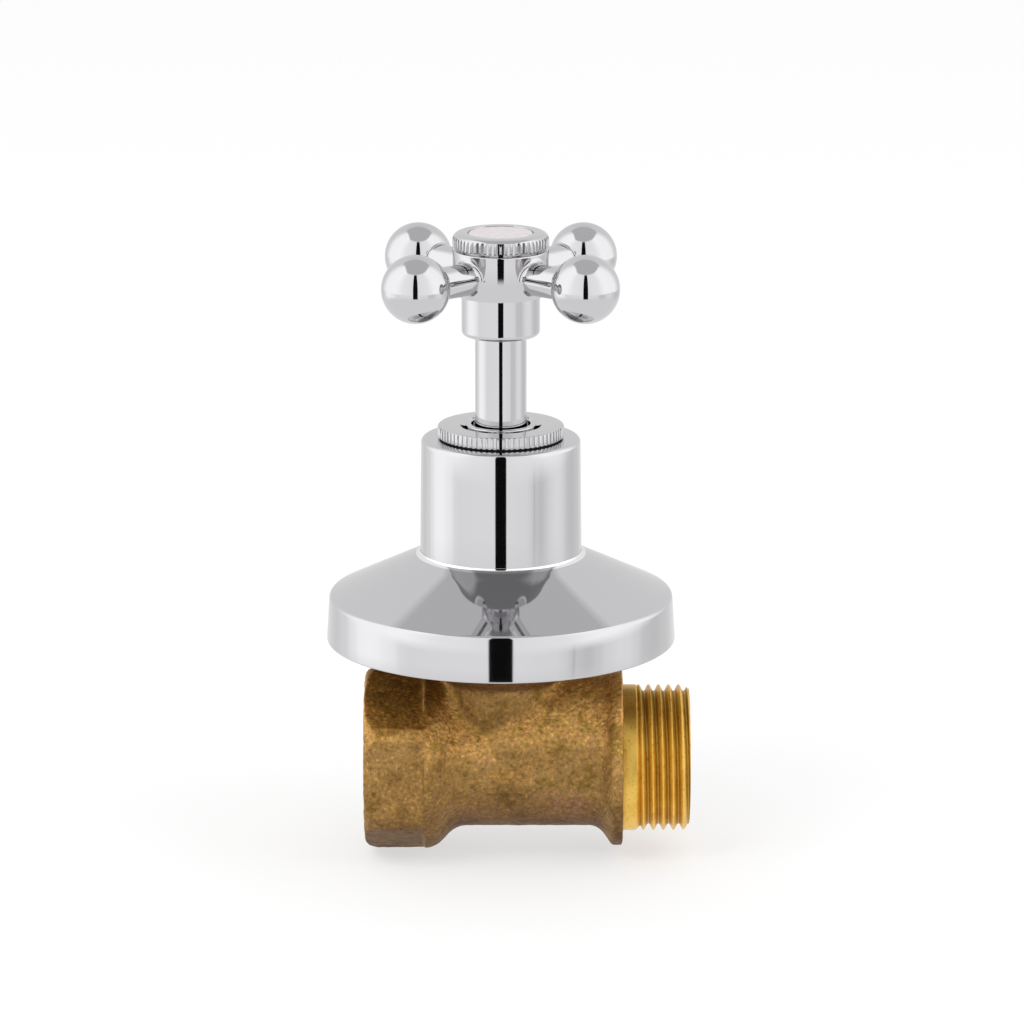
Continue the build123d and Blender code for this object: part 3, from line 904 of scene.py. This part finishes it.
ringWasher = {
    "hole": 9.1 * mm,
    "radius": 10.9 * mm,
    "foot": 59.75 * mm,
    "top": 60.0 * mm,
    "round": 0.08 * mm,
}


def makeRingWasher():
    rounding = ringWasher["round"]
    edge = ringWasher["radius"] - rounding
    outline = [(ringWasher["hole"], ringWasher["foot"])]
    outline += arc(edge, ringWasher["foot"] + rounding, rounding, -90, 0, 3)
    outline += arc(edge, ringWasher["top"] - rounding, rounding, 0, 90, 3)
    outline += [(ringWasher["hole"], ringWasher["top"])]
    return finished(turnedUpright("thin_washer", outline))


print("Knurled trim")

overCrest = 0.01 * mm  # keeps the envelope of a knurl off its crests


def ribs(name, trim):  # a round rib for each tooth, standing in a circle about the spindle
    middle = (trim["foot"] + trim["top"]) / 2
    bpy.ops.object.select_all(action="DESELECT")
    bpy.ops.mesh.primitive_cylinder_add(
        vertices=12, radius=trim["rib"], depth=trim["top"] - trim["foot"],
        location=(spindleX + trim["crest"] - trim["rib"], 0, middle),
    )
    piece = bpy.context.object
    piece.name = name
    bpy.ops.object.transform_apply(location=True)
    openMesh(piece)
    others = trim["teeth"] - 1
    bpy.ops.mesh.spin(
        steps=others, dupli=True, angle=radians(360 * others / trim["teeth"]),
        center=(spindleX, 0, 0), axis=(0, 0, 1),
    )
    closeMesh()
    outward(piece)
    return piece


def knurl(piece, trim, lowest):  # teeth with a bevelled foot and a rounded top, down to the lowest point
    cutWith(piece, ribs("ribs", trim), "UNION")
    top = trim["top"]
    bevel = trim["footBevel"]
    rounding = trim["topRound"]
    wide = trim["crest"] + overCrest
    outline = [(onAxis, lowest - past), (wide - bevel, lowest - past)]
    outline += [(wide - bevel, trim["foot"]), (wide, trim["foot"] + bevel)]
    outline += arc(wide - rounding, top - rounding, rounding, 0, 90, trim["topSteps"])
    outline += [(onAxis, top)]
    cutWith(piece, turnedUpright("envelope", outline), "INTERSECT")


ringNut = {
    "crest": 11.35 * mm,
    "teeth": 70,
    "rib": 0.25 * mm,
    "foot": 60.0 * mm,
    "footBevel": 0.2 * mm,
    "top": 62.1 * mm,
    "topRound": 0.45 * mm,
    "topSteps": 6,
    "skirt": 8.8 * mm,
    "skirtFoot": 54.2 * mm,
    "flats": 12.7 * mm,
    "socketFoot": 60.0 * mm,
    "socketDepth": 4 * mm,
    "bore": 7.4 * mm,
    "boreOver": 0.01 * mm,
    "mouthInside": 1.2 * mm,  # from the socket's corners, 1 mm down
    "mouthOutside": 0.1 * mm,
    "mouthOver": 0.05 * mm,
}


def makeRingNut():
    foot = ringNut["foot"]
    top = ringNut["top"]
    core = ringNut["crest"] - ringNut["rib"]
    skirtFoot = ringNut["skirtFoot"]
    piece = turnedUpright("knurled_ring", [
        (onAxis, skirtFoot), (ringNut["skirt"], skirtFoot), (ringNut["skirt"], foot),
        (core, foot), (core, top), (onAxis, top),
    ])
    knurl(piece, ringNut, skirtFoot)
    corner = ringNut["flats"] / 2 / cos(radians(30))
    bpy.ops.object.select_all(action="DESELECT")
    bpy.ops.mesh.primitive_cylinder_add(
        vertices=6, radius=corner, depth=ringNut["socketDepth"], rotation=(0, 0, radians(30)),
        location=(spindleX, 0, ringNut["socketFoot"] + ringNut["socketDepth"] / 2),
    )
    cutWith(piece, bpy.context.object)
    boreFoot = skirtFoot - 2 * past
    boreTop = ringNut["socketFoot"] + ringNut["boreOver"]
    cutWith(piece, turnedUpright("bore", [
        (onAxis, boreFoot), (ringNut["bore"], boreFoot), (ringNut["bore"], boreTop), (onAxis, boreTop),
    ]))
    mouthTop = top + ringNut["mouthOver"]
    cutWith(piece, turnedUpright("mouth", [
        (onAxis, top - past), (corner - ringNut["mouthInside"], top - past),
        (corner + ringNut["mouthOutside"], mouthTop), (onAxis, mouthTop),
    ]))
    return finished(piece)


button = {
    "crest": 8.6 * mm,
    "teeth": 56,
    "rib": 0.25 * mm,
    "foot": 94.55 * mm,
    "footBevel": 0.25 * mm,
    "top": 97.1 * mm,
    "topRound": 1.3 * mm,
    "topSteps": 10,
    "neck": 6.6 * mm,
    "seat": 94.1 * mm,
    "recess": 5.85 * mm,
    "recessBevel": 0.12 * mm,
    "recessFloor": 96.4 * mm,
    "spigotFoot": 91.0 * mm,
    "spigot": 6.4 * mm,
    "spigotBore": 5.3 * mm,
}


def makeButton():
    foot = button["foot"]
    top = button["top"]
    seat = button["seat"]
    core = button["crest"] - button["rib"]
    bevel = button["recessBevel"]
    piece = turnedUpright("knurled_button", [
        (button["spigotBore"], button["spigotFoot"]), (button["spigot"], button["spigotFoot"]),
        (button["spigot"], seat), (button["neck"], seat),
        (button["neck"], foot), (core, foot), (core, top), (button["recess"] + bevel, top),
        (button["recess"], top - bevel), (button["recess"], button["recessFloor"]),
        (onAxis, button["recessFloor"]), (onAxis, seat), (button["spigotBore"], seat),
    ])
    knurl(piece, button, button["spigotFoot"])
    return finished(piece)


print("Looks on the nodes and the new pieces")

makeWorld()
makeFloor()
makeLamps()
makeCamera()

finishes = {
    "chrome": makeChrome(),
    "cast_brass": makeCastBrass(),
    "turned_brass": makeTurnedBrass(),
    "steel": makePlain("platedSteel", (0.62, 0.62, 0.64), 0.3, 1.0),
    "rubber": makePlain("blackRubber", (0.006, 0.006, 0.006), 0.7),
    "fibre": makePlain("redFibre", (0.45, 0.16, 0.10), 0.8),
    "packing": makePlain("graphitePacking", (0.10, 0.10, 0.11), 0.7),
    "index_plastic": makePlain("indexPlastic", (0.70, 0.64, 0.665), 0.2),
    "pressed_chrome": makePressedChrome(),
    "thread_brass": makeThreadBrass(),
}
for subpart in frame["record"]["subparts"]:
    node = frame["nodes"][subpart["node"]]
    node.data.materials.clear()
    node.data.materials.append(finishes[subpart["material_slot"]])
for piece, finish, node, body, slotName in (
    (makeCasting(), "cast_brass", "valve_body", "valve", "cast_brass"),
    (makeArrow(), "cast_brass", "valve_body", "valve", "cast_brass"),
    (makeOutletThread(), "thread_brass", "valve_body", "valve", "turned_brass"),
    (makeInletThread(), "thread_brass", "valve_body", "valve", "turned_brass"),
    (makeFlange(), "pressed_chrome", "wall_flange", "valve", "chrome"),
    (makeSleeve(), "chrome", "sleeve", "valve", "chrome"),
    (makeRingWasher(), "rubber", "ring_washer", "valve", "rubber"),
    (makeRingNut(), "chrome", "ring_nut", "valve", "chrome"),
    (makeButton(), "chrome", "index_button", "handle", "chrome"),
):
    piece.data.materials.clear()
    piece.data.materials.append(finishes[finish])
    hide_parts(node)
    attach(piece, body)
